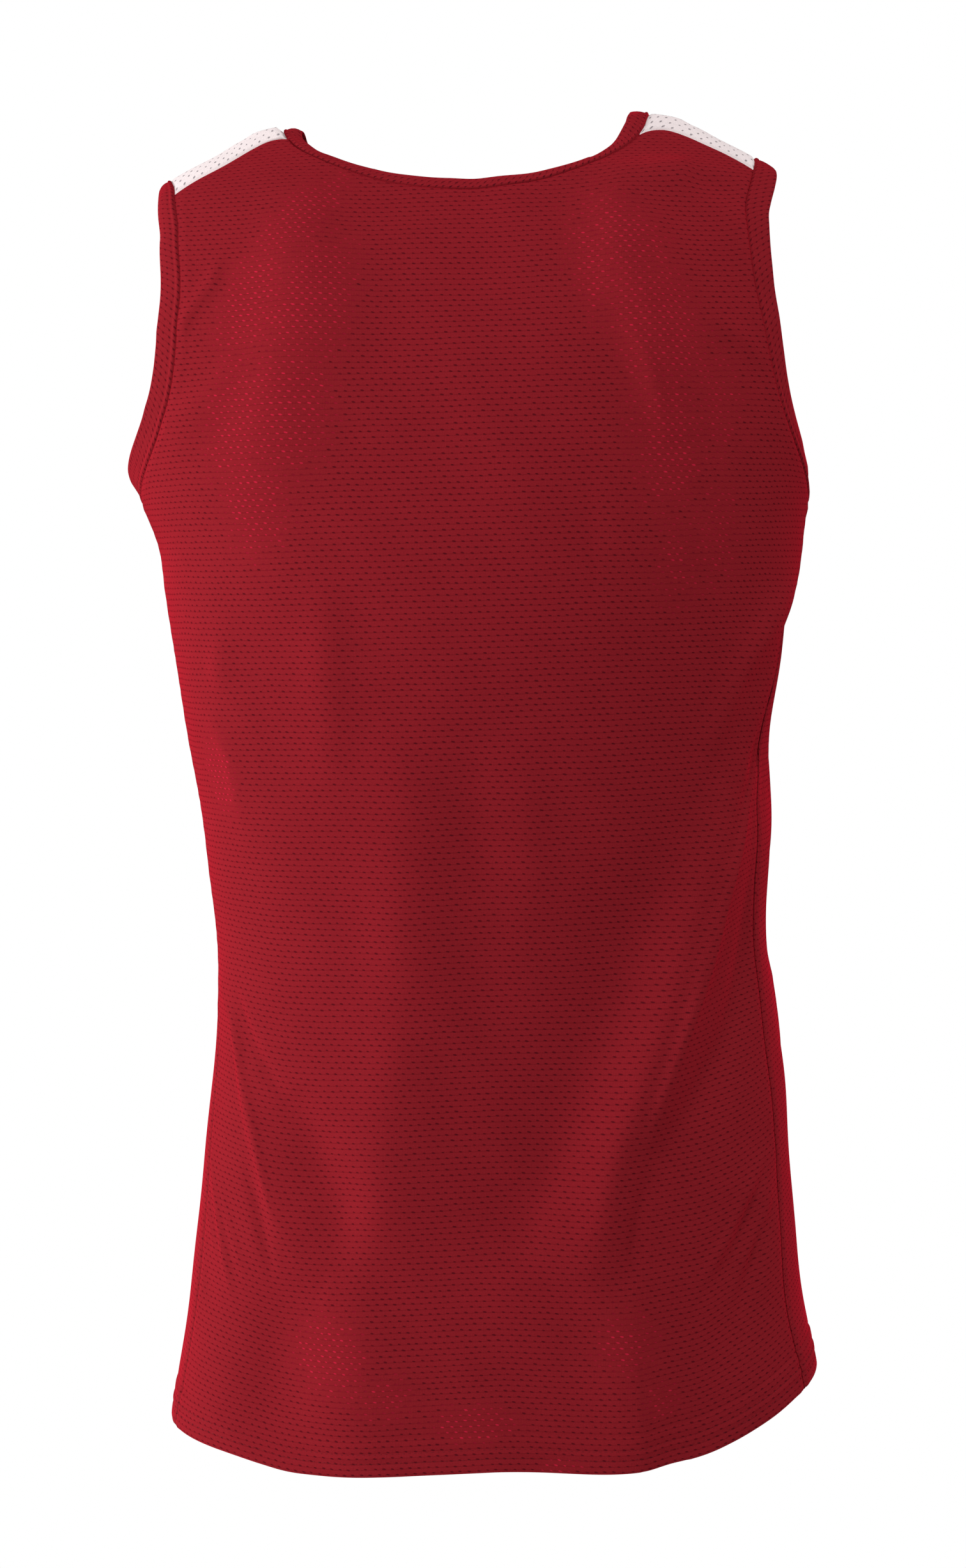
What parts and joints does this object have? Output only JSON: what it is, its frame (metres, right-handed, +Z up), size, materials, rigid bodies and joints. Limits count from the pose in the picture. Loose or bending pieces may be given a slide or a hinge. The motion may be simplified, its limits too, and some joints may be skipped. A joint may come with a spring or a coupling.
{
  "type": "sleeveless basketball jersey",
  "caption": "Sleeveless basketball jersey in eyelet mesh with white shoulder inserts and self bindings, filled out in worn form with nobody in it, open at neck, armholes and hem.",
  "frame": {"origin": "midway between the two shoulder crests, at their height, in the middle of the garment from side to side", "axes": "+Z up along the garment's length, the front faces -Y, the back faces +Y, the wearer's left is +X"},
  "size_m": [0.365, 0.2575, 0.7135],
  "materials": {
    "red_mesh": "matte",
    "white_mesh": "matte"
  },
  "bodies": {
    "root": {"back_panel": "red_mesh", "front_panel": "red_mesh", "shoulder_insert_left": "white_mesh", "shoulder_insert_right": "white_mesh", "neck_binding": "red_mesh", "armhole_binding_left": "red_mesh", "armhole_binding_right": "red_mesh"}
  },
  "joints": []
}
